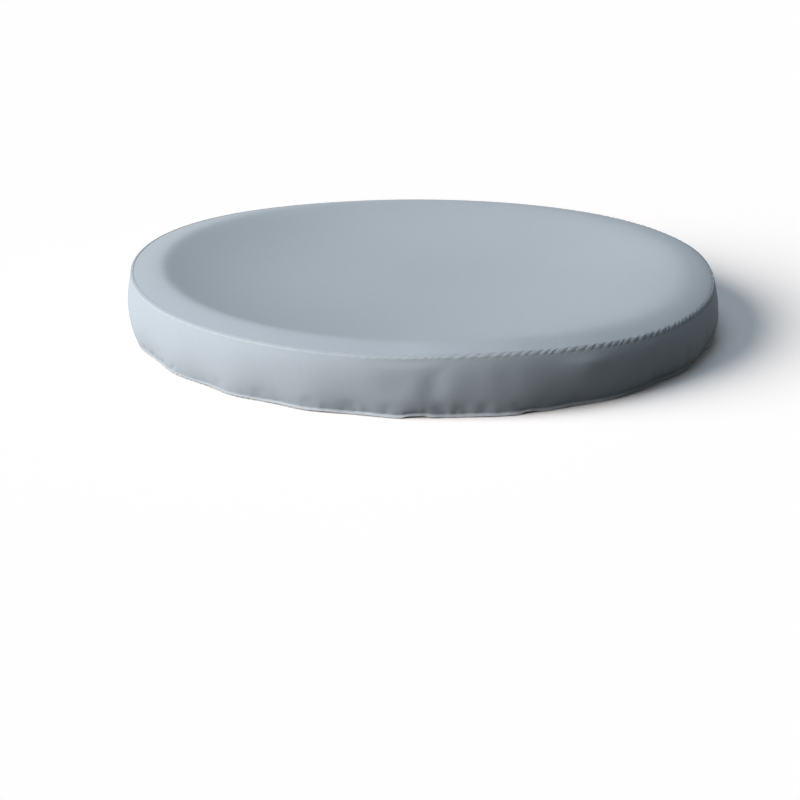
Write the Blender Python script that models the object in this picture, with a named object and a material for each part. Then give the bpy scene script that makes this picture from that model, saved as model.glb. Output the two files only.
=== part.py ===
"""Spa cover: a fitted round cap of coated cloth, dished on top, with a skirt drawn in by an elastic hem.

Metres, +Z up. The origin is under the middle of the cover, on the surface that it stands on.
-Y is the front of the cover.
"""

import math

import bmesh
import bpy

# Overall sizes
INCH = 0.0254
RIM_DIAMETER = 90 * INCH  # across the rim seam, outside
SIDE_CLOTH = 14 * INCH  # cloth of the side, from the top of the rim to the hem's inner edge

# Cloth, thread, tape, elastic and the gap between pieces that touch
CLOTH = 0.0010
THREAD = 0.0010
TAPE = 0.0005
ELASTIC_THICKNESS = 0.0015
ELASTIC_WIDTH = 0.012
GAP = 0.0003

# Rim of the top panel
RIM_RISE = 0.020  # top of the rim above the rim seam
SHOULDER_WIDTH = 0.040  # rounded part between the flat band and the seam
RIM_BAND = 0.095  # flat band around the dish

# Dish where the top panel hangs free
DISH_SAG = 0.060
DISH_POWER = 3.0  # 2 is a parabola, more is flatter in the middle

# Rim seam
SEAM_LAP = 0.016
SEAM_TAPE_WIDTH = 0.012
STITCH_INSET = 0.004  # stitch row from the edge of its lap

# Skirt
BULGE = 0.012  # how far the wall stands out below the seam
DRAW_IN = 0.020  # how far the lower edge lies inside the seam
DRAW_POWER = 4.0
EDGE_ROLL = 0.020  # radius of the turn at the lower edge
TURN_UNDER = 0.088  # cloth past the lower edge, drawn in by the elastic
ELASTIC_PLAY = 0.003  # free width of the casing beside the elastic

# Side seams, where the two halves of the skirt meet
SIDE_TAPE_WIDTH = 0.024
SIDE_STITCH_SPREAD = 0.010  # between the two stitch rows

# Gathered folds of the skirt
FOLD_COUNT = 20
FOLD_DEPTH = 0.006  # at the lower edge
FOLD_POWER = 2.0  # how fast a fold dies out towards the rim
FOLD_DRIFT = 1.2  # how unevenly the folds are spaced
FOLD_DRIFT_COUNT = 3
FOLD_CALM = math.radians(7)  # flat cloth on each side of a side seam

# Divisions: columns in an eighth of the way round, and places of the rows
# as shares of the dish radius and of the wall height
EIGHTH_COLUMNS = 13
DISH_ROWS = (0.30, 0.58, 0.82)
WALL_ROWS = (0.36, 0.70, 1.0)

# Sizes that follow from the ones above
RIM_RADIUS = RIM_DIAMETER / 2
SHOULDER_MEAN = 3 * (SHOULDER_WIDTH + RIM_RISE)
SHOULDER_ROOT = math.sqrt((3 * SHOULDER_WIDTH + RIM_RISE) * (SHOULDER_WIDTH + 3 * RIM_RISE))
SHOULDER_CLOTH = (SHOULDER_MEAN - SHOULDER_ROOT) * math.pi / 4  # length of a quarter ellipse
SEAM_HEIGHT = SIDE_CLOTH - SHOULDER_CLOTH - TURN_UNDER
RIM_HEIGHT = SEAM_HEIGHT + RIM_RISE
TUNNEL = ELASTIC_THICKNESS + 2 * GAP
CASING_WIDTH = CLOTH + ELASTIC_WIDTH + ELASTIC_PLAY + STITCH_INSET
COLUMNS = 8 * EIGHTH_COLUMNS
RIGHT_COLUMN = 0
LEFT_COLUMN = COLUMNS // 2


def coated_polyester():
    return make_material("coated_polyester", (0.43, 0.48, 0.53), 0.62)


def bonded_thread():
    return make_material("bonded_thread", (0.58, 0.62, 0.66), 0.70)


def sealing_tape():
    return make_material("sealing_tape", (0.26, 0.29, 0.32), 0.45)


def braided_elastic():
    return make_material("braided_elastic", (0.72, 0.72, 0.70), 0.85)


def make_material(name, colour, roughness):
    material = bpy.data.materials.new(name)
    material.use_nodes = True
    shader = material.node_tree.nodes["Principled BSDF"]
    shader.inputs["Base Color"].default_value = (*colour, 1.0)
    shader.inputs["Roughness"].default_value = roughness
    shader.inputs["Metallic"].default_value = 0.0
    return material


def clear_scene():
    for item in list(bpy.data.objects):
        bpy.data.objects.remove(item, do_unlink=True)


def add_object(name, data, material, parent):
    piece = bpy.data.objects.new(name, data)
    data.materials.append(material)
    bpy.context.scene.collection.objects.link(piece)
    piece.parent = parent
    return piece


def column_angle(column):
    return 2 * math.pi * column / COLUMNS


def fold_offset(angle, share):
    """How far a gathered fold stands out at an angle. Share is 0 at the rim and 1 at the lower edge."""
    wave = math.cos(FOLD_COUNT * angle + FOLD_DRIFT * math.sin(FOLD_DRIFT_COUNT * angle))
    from_seam = math.asin(abs(math.sin(angle)))
    calm = 1 - math.exp(-((from_seam / FOLD_CALM) ** 2))
    return FOLD_DEPTH * share**FOLD_POWER * wave * calm


def place(angle, spot):
    """The point at an angle around the cover of a profile spot: radius, height, share of the folds."""
    radius, height, share = spot
    radius += fold_offset(angle, share)
    return (radius * math.cos(angle), radius * math.sin(angle), height)


def wall_radius(share):
    return RIM_RADIUS + BULGE * math.sin(math.pi * share) - DRAW_IN * share**DRAW_POWER


def edge_turn():
    """Angle that the lower edge still has to turn through to lie level."""
    inward = math.pi * BULGE + DRAW_POWER * DRAW_IN
    return math.atan2(SEAM_HEIGHT, inward)


def wall_profile():
    """Outer face of the skirt's wall from its top edge down: the seam's lap, then the free cloth."""
    foot = EDGE_ROLL * (1 - math.cos(edge_turn()))
    shares = (0.0, SEAM_LAP / SEAM_HEIGHT, *WALL_ROWS)
    return [(wall_radius(s), SEAM_HEIGHT - (SEAM_HEIGHT - foot) * s, s) for s in shares]


def hem_radius():
    """Radius of the under-turned cloth where it folds back into the casing."""
    turn = edge_turn()
    return wall_radius(1.0) - EDGE_ROLL * math.sin(turn) - (TURN_UNDER - EDGE_ROLL * turn)


def hem_profile():
    """Outer face below the wall: the rolled lower edge, the level run inwards, the folded casing."""
    turn = edge_turn()
    centre = wall_radius(1.0) - EDGE_ROLL * math.sin(turn)
    middle = turn / 2
    roll = (centre + EDGE_ROLL * math.sin(middle), EDGE_ROLL * (1 - math.cos(middle)), 1.0)
    inner = hem_radius()
    height = TUNNEL + 2 * CLOTH
    return [
        roll,
        (centre, 0.0, 1.0),
        (inner, 0.0, 0.0),
        (inner - height / 2, height / 2, 0.0),
        (inner, height, 0.0),
        (inner + CASING_WIDTH, height, 0.0),
    ]


def moved_inwards(profile, distance):
    """The profile moved square to itself by a distance, towards the inside of the cover."""
    moved = []
    for i, (radius, height, share) in enumerate(profile):
        before = profile[max(i - 1, 0)]
        after = profile[min(i + 1, len(profile) - 1)]
        steps = []
        for start, end in ((before, profile[i]), (profile[i], after)):
            length = math.hypot(end[0] - start[0], end[1] - start[1])
            if length > 0:
                steps.append(((end[1] - start[1]) / length, (start[0] - end[0]) / length))
        across = [sum(step[k] for step in steps) / len(steps) for k in (0, 1)]
        reach = distance / (across[0] ** 2 + across[1] ** 2)
        moved.append((radius + across[0] * reach, height + across[1] * reach, share))
    return moved


def between(start, end, share):
    return tuple(a + (b - a) * share for a, b in zip(start, end))


def join_rings(shape, inner, outer):
    """Faces between two closed rings of points, of equal counts or with twice as many points outside."""
    count = len(inner)
    for i in range(count):
        j = (i + 1) % count
        if len(outer) == count:
            shape.faces.new((inner[i], outer[i], outer[j], inner[j]))
        else:
            first, middle, last = outer[2 * i], outer[2 * i + 1], outer[2 * j]
            shape.faces.new((inner[i], first, middle))
            shape.faces.new((inner[i], middle, inner[j]))
            shape.faces.new((inner[j], middle, last))


def join_rows(shape, upper, lower):
    """Faces between two open rows of points, the upper one nearer to the rim."""
    for i in range(len(upper) - 1):
        shape.faces.new((upper[i], lower[i], lower[i + 1], upper[i + 1]))


def thick_sheet(name, shape, thickness, material, parent):
    """A sheet whose outer face is the given shape, with its thickness on the inside."""
    mesh = bpy.data.meshes.new(name)
    shape.to_mesh(mesh)
    shape.free()
    mesh.shade_smooth()
    piece = add_object(name, mesh, material, parent)
    solid = piece.modifiers.new("thickness", "SOLIDIFY")
    solid.thickness = thickness
    solid.offset = -1.0
    solid.use_even_offset = True
    solid.use_quality_normals = True
    return piece


def ring_sheet(name, profile, thickness, material, parent):
    """A sheet that runs all the way round the cover."""
    shape = bmesh.new()
    angles = [column_angle(column) for column in range(COLUMNS)]
    rings = [[shape.verts.new(place(angle, spot)) for angle in angles] for spot in profile]
    for upper, lower in zip(rings, rings[1:]):
        join_rings(shape, upper, lower)
    return thick_sheet(name, shape, thickness, material, parent)


def thread_line(name, points, closed, material, parent):
    curve = bpy.data.curves.new(name, "CURVE")
    curve.dimensions = "3D"
    curve.bevel_depth = THREAD / 2
    curve.bevel_resolution = 0
    curve.use_fill_caps = True
    line = curve.splines.new("POLY")
    line.points.add(len(points) - 1)
    for knot, point in zip(line.points, points):
        knot.co = (*point, 1.0)
    line.use_cyclic_u = closed
    return add_object(name, curve, material, parent)


def flange_profile():
    """Outer face of the top panel's edge, which goes down inside the skirt's lap."""
    return moved_inwards(wall_profile()[:2], CLOTH + GAP)


def top_panel(material, parent):
    """One disc of cloth: dish, flat band, rounded shoulder, and the edge that the rim seam holds."""
    flange = flange_profile()
    seam_radius, seam_height, _ = flange[0]
    band_outer = seam_radius - SHOULDER_WIDTH
    band_inner = band_outer - RIM_BAND
    rise = RIM_HEIGHT - seam_height
    eighth = math.radians(45)
    shoulder = (
        band_outer + SHOULDER_WIDTH * math.sin(eighth),
        seam_height + rise * math.cos(eighth),
        0.0,
    )
    dish = [
        (band_inner * s, RIM_HEIGHT - DISH_SAG * (1 - s**DISH_POWER), 0.0) for s in DISH_ROWS
    ]
    rim = [(band_inner, RIM_HEIGHT, 0.0), (band_outer, RIM_HEIGHT, 0.0), shoulder]
    edge = [(radius, height, 0.0) for radius, height, _ in flange]
    shape = bmesh.new()
    rings = []
    for i, spot in enumerate(dish + rim + edge):
        count = COLUMNS // 2 ** max(len(DISH_ROWS) - i, 0)
        rings.append([shape.verts.new(place(2 * math.pi * k / count, spot)) for k in range(count)])
    middle = shape.verts.new((0.0, 0.0, RIM_HEIGHT - DISH_SAG))
    for i, corner in enumerate(rings[0]):
        shape.faces.new((middle, corner, rings[0][(i + 1) % len(rings[0])]))
    for inner, outer in zip(rings, rings[1:]):
        join_rings(shape, inner, outer)
    return thick_sheet("top_panel", shape, CLOTH, material, parent)


def skirt_panel(name, first, last, material, parent):
    """Half of the skirt, from one side seam to the other, with the hem casing folded at its edge."""
    half_gap = GAP / 2 / RIM_RADIUS
    angles = [column_angle(column) for column in range(first, last + 1)]
    angles[0] += half_gap
    angles[-1] -= half_gap
    shape = bmesh.new()
    rows = []
    for spot in wall_profile() + hem_profile():
        rows.append([shape.verts.new(place(angle, spot)) for angle in angles])
    for upper, lower in zip(rows, rows[1:]):
        join_rows(shape, upper, lower)
    return thick_sheet(name, shape, CLOTH, material, parent)


def rim_seam_tape(material, parent):
    """Waterproof tape on the inside of the rim seam, in the middle of the lap."""
    top, bottom = moved_inwards(wall_profile()[:2], 2 * (CLOTH + GAP))
    margin = (SEAM_LAP - SEAM_TAPE_WIDTH) / 2 / SEAM_LAP
    band = [between(top, bottom, margin), between(top, bottom, 1 - margin)]
    return ring_sheet("rim_seam_tape", band, TAPE, material, parent)


def rim_stitches(material, parent):
    """Two rows of thread on the outside of the lap, near its two edges."""
    top, bottom = moved_inwards(wall_profile()[:2], -(GAP + THREAD / 2))
    inset = STITCH_INSET / SEAM_LAP
    angles = [column_angle(column) for column in range(COLUMNS)]
    for name, share in (("rim_stitch_upper", inset), ("rim_stitch_lower", 1 - inset)):
        spot = between(top, bottom, share)
        thread_line(name, [place(angle, spot) for angle in angles], True, material, parent)


def seam_line(column, across, inwards):
    """Points down the free wall near a side seam: across is the way round from it, inwards the depth."""
    free = moved_inwards(wall_profile()[1:], inwards)
    free[0] = between(free[0], free[1], STITCH_INSET / math.dist(free[0], free[1]))
    step = 1 if across > 0 else -1
    points = []
    for spot in free:
        on_seam = place(column_angle(column), spot)
        beside = place(column_angle(column + step), spot)
        points.append(between(on_seam, beside, abs(across) / math.dist(on_seam, beside)))
    return points


def side_seam_tape(name, column, material, parent):
    """Waterproof tape behind the join of the two skirt halves."""
    half = SIDE_TAPE_WIDTH / 2
    lines = [seam_line(column, across, CLOTH + GAP) for across in (-half, 0.0, half)]
    shape = bmesh.new()
    rows = [[shape.verts.new(point) for point in row] for row in zip(*lines)]
    for upper, lower in zip(rows, rows[1:]):
        join_rows(shape, upper, lower)
    return thick_sheet(name, shape, TAPE, material, parent)


def side_seam_stitches(side, column, front_way, material, parent):
    """A row of thread on each side of the join, one through each half of the skirt."""
    for half, way in (("front", front_way), ("back", -front_way)):
        points = seam_line(column, way * SIDE_STITCH_SPREAD / 2, -(GAP + THREAD / 2))
        thread_line(f"{side}_seam_stitch_{half}", points, False, material, parent)


def hem_elastic(material, parent):
    """Flat elastic loop that lies in the casing."""
    inner = hem_radius() + CLOTH
    height = CLOTH + GAP
    band = [(inner + ELASTIC_WIDTH, height, 0.0), (inner, height, 0.0)]
    return ring_sheet("hem_elastic", band, ELASTIC_THICKNESS, material, parent)


def hem_stitch(material, parent):
    """Row of thread that closes the casing, on its upper side."""
    height = TUNNEL + 2 * CLOTH + GAP + THREAD / 2
    spot = (hem_radius() + CASING_WIDTH - STITCH_INSET, height, 0.0)
    angles = [column_angle(column) for column in range(COLUMNS)]
    points = [place(angle, spot) for angle in angles]
    return thread_line("hem_stitch", points, True, material, parent)


def spa_cover():
    cover = bpy.data.objects.new("spa_cover", None)
    bpy.context.scene.collection.objects.link(cover)
    cloth = coated_polyester()
    thread = bonded_thread()
    tape = sealing_tape()
    top_panel(cloth, cover)
    skirt_panel("skirt_back_panel", RIGHT_COLUMN, LEFT_COLUMN, cloth, cover)
    skirt_panel("skirt_front_panel", LEFT_COLUMN, RIGHT_COLUMN + COLUMNS, cloth, cover)
    rim_seam_tape(tape, cover)
    rim_stitches(thread, cover)
    side_seam_tape("right_seam_tape", RIGHT_COLUMN, tape, cover)
    side_seam_tape("left_seam_tape", LEFT_COLUMN, tape, cover)
    side_seam_stitches("right", RIGHT_COLUMN, -1, thread, cover)
    side_seam_stitches("left", LEFT_COLUMN, 1, thread, cover)
    hem_elastic(braided_elastic(), cover)
    hem_stitch(thread, cover)


clear_scene()
spa_cover()
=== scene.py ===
# %% [markdown]
# # A fitted spa cover
#
# The cover is a round cap of coated polyester cloth. Its top panel is sewn to a skirt along the rim, and an
# elastic in the hem draws the skirt in, so that the cover holds on. The cloth is soft, so its look is all in
# how it hangs: a dish in the middle of the top, puckers along the seam, and gathers above the hem. This
# lesson builds each piece of cloth as a fine grid of points, sews it with modelled stitches, and then gives
# every piece its finish.

import math

import bpy
import numpy as np
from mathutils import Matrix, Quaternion, Vector


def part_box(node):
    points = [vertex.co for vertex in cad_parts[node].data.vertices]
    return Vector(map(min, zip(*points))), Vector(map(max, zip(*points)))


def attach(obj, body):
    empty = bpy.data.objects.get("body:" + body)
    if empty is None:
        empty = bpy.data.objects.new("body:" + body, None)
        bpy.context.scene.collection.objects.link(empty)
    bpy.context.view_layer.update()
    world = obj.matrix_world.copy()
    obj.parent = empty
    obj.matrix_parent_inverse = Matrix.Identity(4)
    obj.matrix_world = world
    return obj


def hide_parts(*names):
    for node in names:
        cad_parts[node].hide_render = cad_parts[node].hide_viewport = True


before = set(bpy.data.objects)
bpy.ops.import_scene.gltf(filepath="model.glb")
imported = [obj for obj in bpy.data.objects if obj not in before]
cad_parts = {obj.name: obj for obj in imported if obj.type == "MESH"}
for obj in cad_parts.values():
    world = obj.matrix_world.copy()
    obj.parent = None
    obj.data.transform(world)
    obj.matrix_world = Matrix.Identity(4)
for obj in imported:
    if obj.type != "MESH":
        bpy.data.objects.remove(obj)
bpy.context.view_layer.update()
bpy.ops.object.select_all(action="DESELECT")
print("nodes in the frame:", ", ".join(sorted(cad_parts)))

# %% [markdown]
# ## The camera
#
# A camera that matches a photograph can be found by hand, by moving it until the edges line up. Here it is
# worked out: the eye stands at a distance and a height angle from the middle of the rim, and then turns
# until that point lands on the pixel where the photograph shows it. The frame is 800 by 800 pixels.

# %% Camera
RIM_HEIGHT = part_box("top_panel")[1].z
FRAME_PIXELS = 800
SENSOR = 36.0  # millimetres across the frame
LENS = 72.0
EYE_DISTANCE = 6.35
EYE_ELEVATION = math.radians(15.2)
EYE_ROLL = math.radians(0.57)
RIM_PIXEL = (421.5, 259.6)  # where the middle of the rim shows

rim_middle = Vector((0, 0, RIM_HEIGHT))
towards_eye = Vector((0, -math.cos(EYE_ELEVATION), math.sin(EYE_ELEVATION)))
focal_pixels = LENS / SENSOR * FRAME_PIXELS
pan = math.atan2(RIM_PIXEL[0] - FRAME_PIXELS / 2, focal_pixels)
tilt = -math.atan2(FRAME_PIXELS / 2 - RIM_PIXEL[1], focal_pixels)

bpy.ops.object.camera_add(location=rim_middle + towards_eye * EYE_DISTANCE)
camera = bpy.context.object
camera.rotation_mode = "QUATERNION"
look = (-towards_eye).to_track_quat("-Z", "Y")
for axis, angle in (((0, 1, 0), pan), ((1, 0, 0), tilt), ((0, 0, 1), EYE_ROLL)):
    look = look @ Quaternion(axis, angle)
camera.rotation_quaternion = look
camera.data.lens = LENS
camera.data.sensor_width = SENSOR
bpy.context.scene.camera = camera
print("camera at", [round(x, 3) for x in camera.location])

# %% [markdown]
# ## Pinches, creases and folds
#
# Sewn and gathered cloth buckles in a few ways, and each can be a small function of the way round the cover:
# - seam puckers, where the thread draws the rim seam tight, every three centimetres or so
# - gathers, narrow pinches that stand on the hem, with rounded cloth between them
# - creases, single valleys with a ridge on each side, some upright and some leaning
# - long folds, soft waves that grow from the rim down to the lower edge
#
# A cloth simulation would find such shapes by itself, but it would put them where it likes. Written as
# functions they stand where the photograph shows them, and the rest come from seeded random numbers.

# %% Waves around the cover
INCH = 0.0254
SEAM_RADIUS = 90 * INCH / 2
PUCKER_PITCH = 0.032
GATHER_PITCH = 0.050
PINCH_SPREAD = 0.45  # how uneven the spaces of these two are
RUCHE_PITCH = 0.024  # of the crinkles that the elastic makes
RUCHE_SPREAD = 0.3
LEAST_PUCKER = 0.50  # size of the smallest pucker against the largest
chance = np.random.default_rng(11)


def around(angle, centre):
    """Angle from a centre, between half a turn back and half a turn on."""
    return (angle - centre + np.pi) % (2 * np.pi) - np.pi


def from_front(degrees):
    """Angle of a place that lies some degrees to the right of the front."""
    return math.radians(degrees - 90)


def uneven_places(pitch, spread):
    """Angles of places a pitch apart round the rim, each space changed at random by up to a share."""
    count = round(2 * np.pi * SEAM_RADIUS / pitch)
    spaces = 1 + spread * chance.uniform(-1, 1, count)
    return np.cumsum(spaces) / spaces.sum() * 2 * np.pi


def pinched(angle, places, sizes=(1.0,)):
    """0 at each place, with a round swell between two, whose height comes from a list of sizes."""
    ring = np.concatenate([[places[-1] - 2 * np.pi], places])
    space = np.interp(angle % (2 * np.pi), ring, np.arange(len(ring)))
    size = np.array(sizes)[space.astype(int) % len(sizes)]
    return size * np.abs(np.sin(np.pi * space))


def smooth_step(value):
    """0 up to 0 and 1 from 1 on, with a soft start and end between them."""
    value = np.clip(value, 0.0, 1.0)
    return value * value * (3 - 2 * value)


def hills(angle, places, power):
    """Sum of soft hills, each with its degrees from the front, half of its width and its height."""
    return sum(
        height * np.exp(-((around(angle, from_front(degrees)) / math.radians(half)) ** power))
        for degrees, half, height in places
    )


pucker_places = uneven_places(PUCKER_PITCH, PINCH_SPREAD)
pucker_sizes = chance.uniform(LEAST_PUCKER, 1.0, len(pucker_places))
gather_places = uneven_places(GATHER_PITCH, PINCH_SPREAD)
ruche_places = uneven_places(RUCHE_PITCH, RUCHE_SPREAD)
print(len(pucker_places), "seam puckers,", len(gather_places), "gathers at the lower edge")

# %% Seam puckers
SEAM_LAP = 0.012
STITCH_INSET = 0.0035  # stitch row from the edge of the lap
STITCH_DENT = 0.0010
STITCH_DENT_WIDTH = 0.0022
STITCH_PULL = 1.5  # how much deeper the dent is where the seam is pinched
PUCKER_DEPTH = 0.0017
PUCKER_POWER = 0.8  # less than 1 makes the swell between two pinches plump
PUCKER_MEAN = 0.5  # about the mean of a swell, so that a pucker goes in as much as out
PUCKER_LEAN = 1.3  # way round for each unit of way down
PUCKER_UP = 0.004  # how far a pucker runs into the top panel
PUCKER_DOWN = 0.005  # how far it runs down the skirt
GROOVE_DEPTH = 0.0018  # of the hollows that a pinch leaves beside the two edges of the lap
GROOVE_OFF = 0.0026
GROOVE_WIDTH = 0.0036
TIGHT_SIDE = from_front(104)  # where the thread is tightest
TIGHT_REACH = 0.65  # more makes the tight part longer
TIGHT_FADE = 1.45  # more makes its ends softer
LOOSE = 0.13  # how tight the slack part is
PAINTED_SHADE_MOST = 0.70  # the most that painted shade darkens the cloth's colour in the pinches
TUCK_DEPTH = 0.0020  # hollow below the lap
TUCK_BELOW = 0.014
TUCK_WIDTH = 0.013
TUCK_SHARE = 0.2  # how deep the hollow is elsewhere than at the front
TUCK_WAVES = (9, 4)  # times round the rim that its depth varies, and that their spacing does
FRONT_TUCK = (-3.0, 5.0, 1.0)  # degrees from the front, half of the width, and share of the depth


def tightness(angle):
    """1 where the thread of the rim seam is drawn tight, and little where it is slack."""
    return LOOSE + (1 - LOOSE) * smooth_step((TIGHT_REACH + np.cos(angle - TIGHT_SIDE)) / TIGHT_FADE)


def bead(angle, drop):
    """0 where the seam is pinched, with a slanted swell between two pinches."""
    return pinched(angle + PUCKER_LEAN * drop / SEAM_RADIUS, pucker_places, pucker_sizes)


def beside_lap(drop):
    """1 along the two edges of the lap."""
    return sum(np.exp(-(((drop - at) / GROOVE_WIDTH) ** 2)) for at in (-GROOVE_OFF, SEAM_LAP + GROOVE_OFF))


def seam_painted_shade(angle, drop):
    """How dark the painted shade is in the pinches of the seam."""
    return PAINTED_SHADE_MOST * tightness(angle) * (1 - bead(angle, drop) ** 2) * beside_lap(drop)


def seam_puckers(angle, drop):
    """How far the cloth near the rim seam stands out. Drop is the way down from the lap's upper edge."""
    swell = bead(angle, drop)
    tight = tightness(angle)
    above = np.exp(np.minimum(drop, 0) / PUCKER_UP)
    below = np.exp(-np.maximum(drop - SEAM_LAP, 0) / PUCKER_DOWN)
    out = PUCKER_DEPTH * tight * (swell**PUCKER_POWER - PUCKER_MEAN) * above * below
    pinch = tight * (1 - swell) ** 2
    for row in (STITCH_INSET, SEAM_LAP - STITCH_INSET):
        dent = STITCH_DENT * (1 + STITCH_PULL * pinch)
        out = out - dent * np.exp(-(((drop - row) / STITCH_DENT_WIDTH) ** 2))
    out = out - GROOVE_DEPTH * pinch * beside_lap(drop)
    wave = np.cos(TUCK_WAVES[0] * angle + np.sin(TUCK_WAVES[1] * angle))
    uneven = TUCK_SHARE + TUCK_SHARE * wave + hills(angle, [FRONT_TUCK], power=4)
    tuck = np.exp(-(((drop - SEAM_LAP - TUCK_BELOW) / TUCK_WIDTH) ** 2))
    return out - TUCK_DEPTH * tuck * uneven


# %% Long folds and gathers
FOLD_COUNT = 20
FOLD_DEPTH = 0.006
FOLD_DRIFT = 1.2  # how unevenly the folds are spaced
FOLD_DRIFT_COUNT = 3
FOLD_CALM = math.radians(7)  # flat cloth on each side of a side seam
GATHER_DEPTH = 0.0022
GATHER_POWER = 1.5  # more than 1 makes the pinches wider
GATHER_MEAN = 0.55
FLARED_SIDE = from_front(50)
FLARE_REACH = 0.2  # more makes the flared part longer
SMOOTH_FLARE = 0.05  # how much the rest flares
RUCHE_DEPTH = 0.0022


def long_folds(angle):
    """How far a long fold stands out at the lower edge."""
    wave = np.cos(FOLD_COUNT * angle + FOLD_DRIFT * np.sin(FOLD_DRIFT_COUNT * angle))
    from_seam = np.arcsin(np.abs(np.sin(angle)))
    return FOLD_DEPTH * wave * (1 - np.exp(-((from_seam / FOLD_CALM) ** 2)))


def flare(angle):
    """1 where the lower edge is drawn in hard and its lip flares out, less where it lies smooth."""
    return SMOOTH_FLARE + (1 - SMOOTH_FLARE) * smooth_step(FLARE_REACH + np.cos(angle - FLARED_SIDE))


def gathers(angle):
    """How far the cloth just above the lower edge stands out between the pinches."""
    return GATHER_DEPTH * flare(angle) * (pinched(angle, gather_places) ** GATHER_POWER - GATHER_MEAN)


def ruche(angle):
    """How far the casing is off the ground, where the elastic crinkles it."""
    return RUCHE_DEPTH * (1 - pinched(angle, ruche_places))


# %% Creases
# Those that show from the front: degrees from the front, height of the middle, half of the height, depth,
# width, and lean, which is the way to the right for each unit of way up. A depth below 0 is a ridge.
FRONT_CREASES = (
    (3.6, 0.174, 0.030, 0.0008, 0.022, 0.90),
    (-3.5, 0.122, 0.050, 0.0048, 0.085, 0.0),
    (1.8, 0.108, 0.062, 0.0062, 0.050, 0.10),
    (8.6, 0.110, 0.110, 0.0007, 0.042, 0.05),
    (14.3, 0.120, 0.110, 0.0013, 0.046, -0.08),
    (24.0, 0.100, 0.060, 0.0005, 0.040, 1.00),
    (29.5, 0.160, 0.065, -0.0100, 0.105, 0.0),
    (32.0, 0.140, 0.100, 0.0010, 0.060, 0.10),
)
# Short ones that stand on the hem, in degrees from the front
HEM_CREASES = (-38, -29, -19.4, -12, -5.4, 3.1, 7.0, 10.9, 16.5, 21.4, 28.2, 36, 45)
HEM_CREASE = (0.034, 0.020, 0.0026, 0.026)  # middle, half of the height, depth and width
HEM_LEAN = 0.2  # the most that one of them leans
WRINKLES = (-78, -73, -69, -64, -60, -55, -51)  # small ones above the hem on the left
WRINKLE = (0.026, 0.014, 0.0034, 0.010, 1.2)  # the same four values, and the lean
CREASE_RIDGE = 0.25  # how much the cloth swells on each side of a crease
OTHER_CREASES = 70  # the rest, with each value drawn at random between these two
OTHER_LOW = (40, 0.030, 0.030, 0.0014, 0.014, -0.5)
OTHER_HIGH = (280, 0.130, 0.080, 0.0034, 0.036, 0.5)

all_creases = list(FRONT_CREASES)
for degrees in HEM_CREASES:
    all_creases.append((degrees, *HEM_CREASE, chance.uniform(-HEM_LEAN, HEM_LEAN)))
for degrees in WRINKLES:
    all_creases.append((degrees, *WRINKLE))
all_creases.extend(chance.uniform(OTHER_LOW, OTHER_HIGH, (OTHER_CREASES, len(OTHER_LOW))))


def creases(angle, height):
    """How far the cloth stands out beside all the creases, which is inwards along the line of each."""
    out = 0
    for degrees, middle, half, depth, width, lean in all_creases:
        off = SEAM_RADIUS * around(angle, from_front(degrees)) - lean * (height - middle)
        across = (off / width) ** 2
        along = np.exp(-(((height - middle) / half) ** 2))
        out = out - depth * (1 - CREASE_RIDGE * across) * np.exp(-across) * along
    return out


print(len(all_creases), "creases")

# %% Lower edge
EDGE_LIFT = 0.0030
EDGE_WAVES = ((23, 2.0, 5), (41, 1.5, 3))  # waves round the edge, how uneven, and in how many places
NOTCH_TUCK = 0.0060
NOTCH_LIFT = 0.0040
NOTCH_SOFT = 0.010
RUMPLE_LIFT = 0.0035
FRONT_NOTCHES = ((-0.9, 1.9), (19.0, 1.5))  # degrees from the front, and half of the width
OTHER_NOTCHES = range(60, 286, 25)  # about where the others are
NOTCH_SHIFT = 8  # the most that one of these is moved
NOTCH_HALF = (0.8, 1.8)  # the least and the most of half of its width

all_notches = list(FRONT_NOTCHES)
for degrees in OTHER_NOTCHES:
    shift = chance.uniform(-NOTCH_SHIFT, NOTCH_SHIFT)
    all_notches.append((degrees + shift, chance.uniform(*NOTCH_HALF)))


def notches(angle):
    """1 where the lip of the lower edge is tucked in, and 0 elsewhere."""
    tucked = 0
    for degrees, half in all_notches:
        off = SEAM_RADIUS * around(angle, from_front(degrees))
        end = SEAM_RADIUS * math.radians(half)
        tucked = tucked + (np.tanh((off + end) / NOTCH_SOFT) - np.tanh((off - end) / NOTCH_SOFT)) / 2
    return tucked


def edge_lift(angle):
    """How far the lower edge is off the ground: it waves, rises at a notch and is rumpled where slack."""
    wave = sum(np.cos(count * angle + drift * np.sin(slow * angle)) for count, drift, slow in EDGE_WAVES)
    rumple = RUMPLE_LIFT * (1 - flare(angle)) * (1 - pinched(angle, ruche_places, pucker_sizes))
    return EDGE_LIFT * (2 + wave) / 4 + NOTCH_LIFT * notches(angle) + rumple


print(len(all_notches), "places where the lip is tucked in")

# %% [markdown]
# ## The line of the skirt
#
# Seen from the side, the skirt starts as a lap over the edge of the top panel, turns down at a crisp corner,
# stands out a little, and then comes in towards the hem. Just above the lower edge the pull of the elastic
# pinches it, and the last bit of cloth flares out as a lip that catches the light. Below, the cloth rolls
# under and runs in to the casing that holds the elastic.
#
# A Screw modifier could turn this line into a skirt, but a turned skirt has no folds. So the line is kept as
# rows of points, and each row says how much of every fold and pinch it takes part in.

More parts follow.
